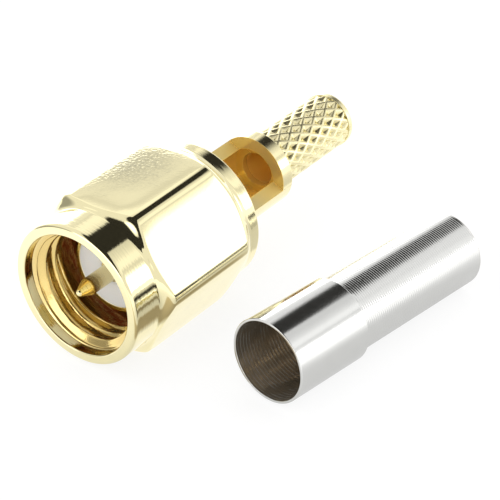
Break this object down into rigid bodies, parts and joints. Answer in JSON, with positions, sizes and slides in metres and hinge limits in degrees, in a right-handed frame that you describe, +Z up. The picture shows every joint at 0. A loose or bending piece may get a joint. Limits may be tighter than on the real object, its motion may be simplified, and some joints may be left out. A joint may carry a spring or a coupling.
{
  "type": "sma connector",
  "caption": "Coaxial crimp plug with a turning hexagonal coupling nut, centre pin, solder window and knurled crimp post, with its stepped crimp ferrule lying beside it.",
  "frame": {"origin": "on the plug's axis at the mating reference plane, where the outer conductor ends and the centre pin leaves the insulator", "axes": "+X along the plug's axis towards the cable, +Z up and square to the nut's lowest flat"},
  "size_m": [0.0213, 0.0176, 0.008],
  "materials": {
    "nut_plating": "polished gold plating over turned brass",
    "body_plating": "gold plating over turned and knurled brass",
    "contact_plating": "polished gold plating over turned brass",
    "spring_bronze": "bright rolled spring wire",
    "silicone": "matt moulded silicone rubber",
    "ptfe": "waxy turned PTFE",
    "ferrule_plating": "bright nickel plating over annealed copper tube"
  },
  "bodies": {
    "plug": {"connector_body": "body_plating", "retaining_ring": "spring_bronze", "gasket": "silicone", "dielectric": "ptfe", "centre_contact": "contact_plating", "crimp_ferrule": "ferrule_plating"},
    "nut": {"coupling_nut": "nut_plating"}
  },
  "joints": [
    {"name": "nut_spin", "type": "hinge", "parent": "plug", "child": "nut", "pos_m": [0, 0, 0], "axis": [1, 0, 0], "continuous": true}
  ]
}
